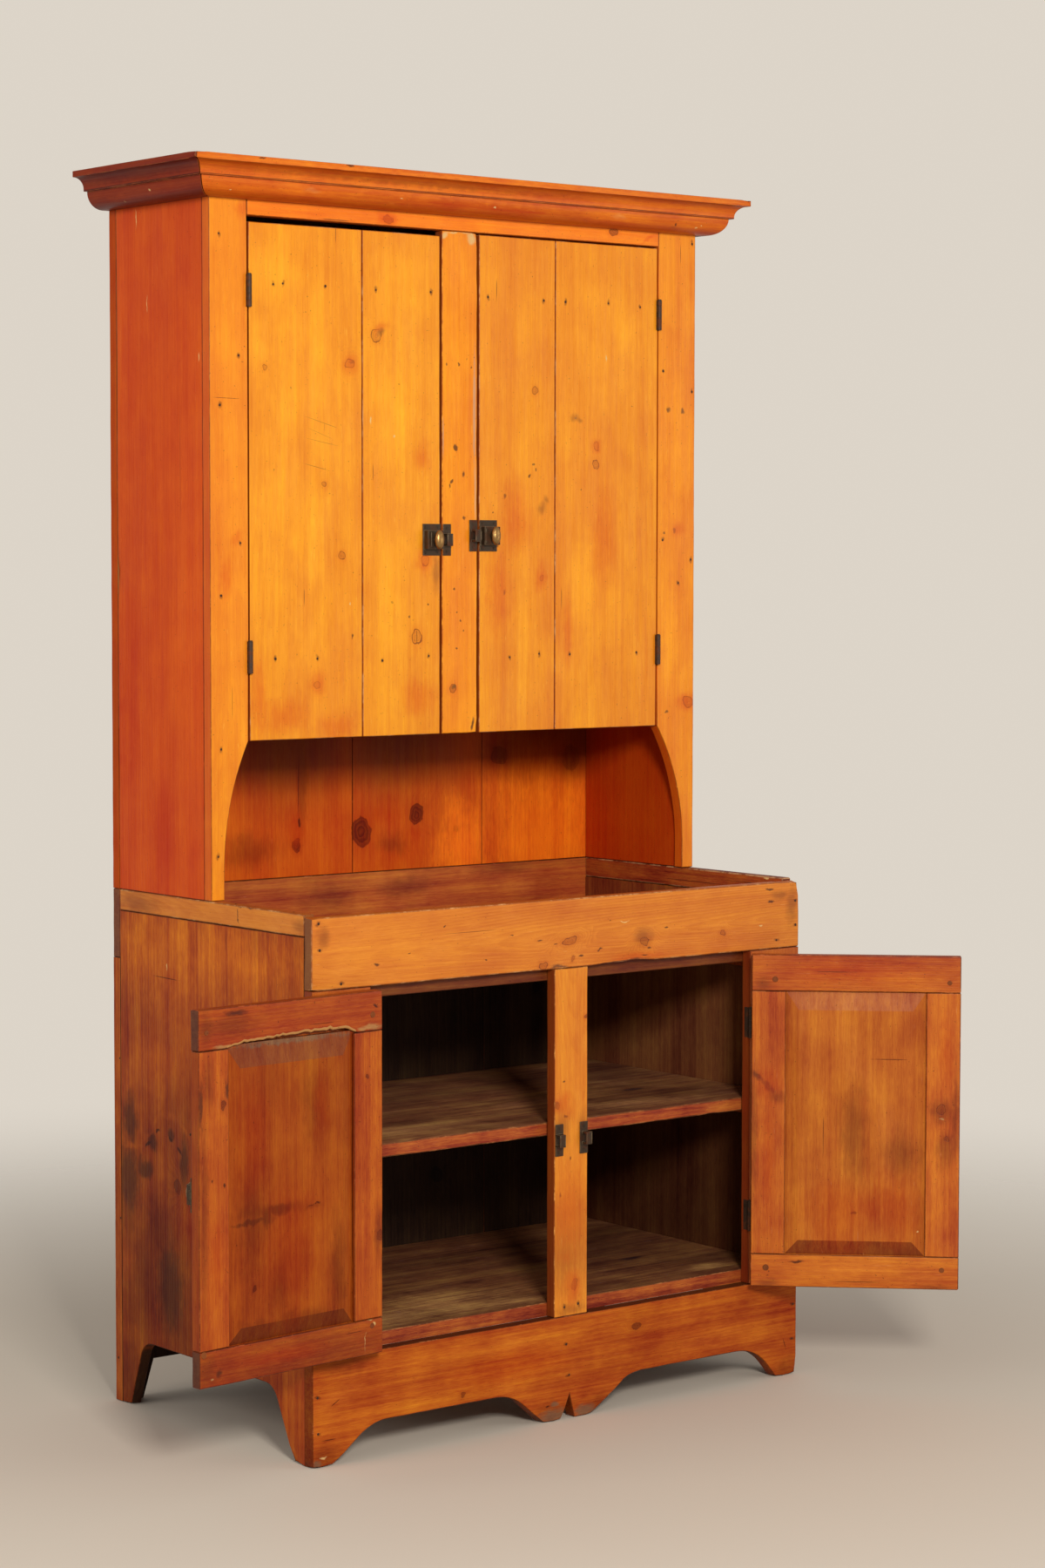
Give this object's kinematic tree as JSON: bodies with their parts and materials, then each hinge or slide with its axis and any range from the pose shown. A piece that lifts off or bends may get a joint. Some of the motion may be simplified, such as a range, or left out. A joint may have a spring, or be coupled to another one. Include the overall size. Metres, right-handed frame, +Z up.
{
  "type": "dry sink cabinet",
  "caption": "Stepback dry sink cupboard in old pine: panelled lower case with an open well on top and a shallower upper cupboard with batten doors above an alcove.",
  "frame": {"origin": "the front left corner of the lower case, where its left foot stands on the floor", "axes": "+X to the right along the front, +Y back towards the wall, +Z up"},
  "size_m": [1.3759, 0.8115, 1.972],
  "materials": {
    "upper_pine": "old orange shellac, semi-gloss",
    "crown_pine": "old orange shellac, semi-gloss",
    "lower_pine": "worn shellac, satin",
    "well_pine": "rubbed bare and oiled, satin",
    "door_pine": "worn shellac, satin",
    "inner_pine": "raw and darkened by age, matt",
    "hinge_iron": "dark brown patina",
    "latch_iron": "dark bronze patina",
    "knob_brass": "dull aged brass"
  },
  "bodies": {
    "cabinet": {"lower_side_left": "lower_pine", "lower_side_right": "lower_pine", "rim_strip_left": "well_pine", "rim_strip_right": "well_pine", "well_front_board": "well_pine", "well_back_board": "inner_pine", "well_floor": "inner_pine", "lower_stile_left": "lower_pine", "lower_stile_right": "lower_pine", "lower_stile_centre": "lower_pine", "apron": "lower_pine", "lower_shelf": "inner_pine", "lower_floor": "inner_pine", "lower_cleats": "inner_pine", "lower_back_boards": "inner_pine", "upper_side_left": "upper_pine", "upper_side_right": "upper_pine", "upper_stile_left": "upper_pine", "upper_stile_right": "upper_pine", "upper_stile_centre": "upper_pine", "upper_top_rail": "upper_pine", "upper_top_board": "inner_pine", "alcove_shelf": "inner_pine", "upper_shelves": "inner_pine", "upper_cleats": "inner_pine", "upper_back_boards": "inner_pine", "crown_front": "crown_pine", "crown_returns": "crown_pine", "hinge_case_leaves": "hinge_iron", "hinge_pins": "hinge_iron", "latch_keepers": "latch_iron"},
    "upper_left_door": {"upper_left_battens": "inner_pine", "upper_left_hinge_leaves": "hinge_iron", "upper_left_latch_case": "latch_iron", "upper_left_narrow_board": "upper_pine", "upper_left_wide_board": "upper_pine"},
    "upper_left_knob": {"upper_left_knob": "knob_brass"},
    "upper_left_bolt": {"upper_left_bolt": "latch_iron"},
    "upper_right_door": {"upper_right_battens": "inner_pine", "upper_right_hinge_leaves": "hinge_iron", "upper_right_latch_case": "latch_iron", "upper_right_narrow_board": "upper_pine", "upper_right_wide_board": "upper_pine"},
    "upper_right_knob": {"upper_right_knob": "knob_brass"},
    "upper_right_bolt": {"upper_right_bolt": "latch_iron"},
    "lower_left_door": {"lower_left_hinge_leaves": "hinge_iron", "lower_left_latch_case": "latch_iron", "lower_left_panel": "door_pine", "lower_left_rails": "door_pine", "lower_left_stiles": "door_pine"},
    "lower_left_knob": {"lower_left_knob": "knob_brass"},
    "lower_left_bolt": {"lower_left_bolt": "latch_iron"},
    "lower_right_door": {"lower_right_hinge_leaves": "hinge_iron", "lower_right_latch_case": "latch_iron", "lower_right_panel": "door_pine", "lower_right_rails": "door_pine", "lower_right_stiles": "door_pine"},
    "lower_right_knob": {"lower_right_knob": "knob_brass"},
    "lower_right_bolt": {"lower_right_bolt": "latch_iron"}
  },
  "joints": [
    {"name": "upper_left_door_hinge", "type": "hinge", "parent": "cabinet", "child": "upper_left_door", "pos_m": [0.0715, 0.263, 1.21], "axis": [0, 0, 1], "range_deg": [-175, 0]},
    {"name": "upper_left_knob_turn", "type": "hinge", "parent": "upper_left_door", "child": "upper_left_knob", "pos_m": [0.426, 0.267, 1.394], "axis": [0, 1, 0], "range_deg": [0, 90]},
    {"name": "upper_left_bolt_slide", "type": "slide", "parent": "upper_left_door", "child": "upper_left_bolt", "axis": [1, 0, 0], "range_m": [0, 0.01132]},
    {"name": "upper_right_door_hinge", "type": "hinge", "parent": "cabinet", "child": "upper_right_door", "pos_m": [0.9075, 0.263, 1.21], "axis": [0, 0, 1], "range_deg": [0, 175]},
    {"name": "upper_right_knob_turn", "type": "hinge", "parent": "upper_right_door", "child": "upper_right_knob", "pos_m": [0.542, 0.267, 1.401], "axis": [0, 1, 0], "range_deg": [0, 90]},
    {"name": "upper_right_bolt_slide", "type": "slide", "parent": "upper_right_door", "child": "upper_right_bolt", "axis": [-1, 0, 0], "range_m": [0, 0.01132]},
    {"name": "lower_left_door_hinge", "type": "hinge", "parent": "cabinet", "child": "lower_left_door", "pos_m": [0.1105, -0.004, 0.28], "axis": [0, 0, 1], "range_deg": [-3, 175]},
    {"name": "lower_left_knob_turn", "type": "hinge", "parent": "lower_left_door", "child": "lower_left_knob", "pos_m": [-0.22238, -0.03714, 0.448], "axis": [0.0872, -0.9962, 0], "range_deg": [0, 90]},
    {"name": "lower_left_bolt_slide", "type": "slide", "parent": "lower_left_door", "child": "lower_left_bolt", "axis": [-0.9962, -0.0872, 0], "range_m": [0, 0.01132]},
    {"name": "lower_right_door_hinge", "type": "hinge", "parent": "cabinet", "child": "lower_right_door", "pos_m": [0.8815, -0.004, 0.28], "axis": [0, 0, 1], "range_deg": [-136, 42]},
    {"name": "lower_right_knob_turn", "type": "hinge", "parent": "lower_right_door", "child": "lower_right_knob", "pos_m": [1.11215, -0.23229, 0.448], "axis": [-0.6947, -0.7193, 0], "range_deg": [0, 90]},
    {"name": "lower_right_bolt_slide", "type": "slide", "parent": "lower_right_door", "child": "lower_right_bolt", "axis": [0.7193, -0.6947, 0], "range_m": [0, 0.01132]}
  ],
  "couplings": [
    {"joint": "upper_left_bolt_slide", "follows": "upper_left_knob_turn", "m_per_rad": 0.0072025},
    {"joint": "upper_right_bolt_slide", "follows": "upper_right_knob_turn", "m_per_rad": 0.0072025},
    {"joint": "lower_left_bolt_slide", "follows": "lower_left_knob_turn", "m_per_rad": 0.0072025},
    {"joint": "lower_right_bolt_slide", "follows": "lower_right_knob_turn", "m_per_rad": 0.0072025}
  ]
}
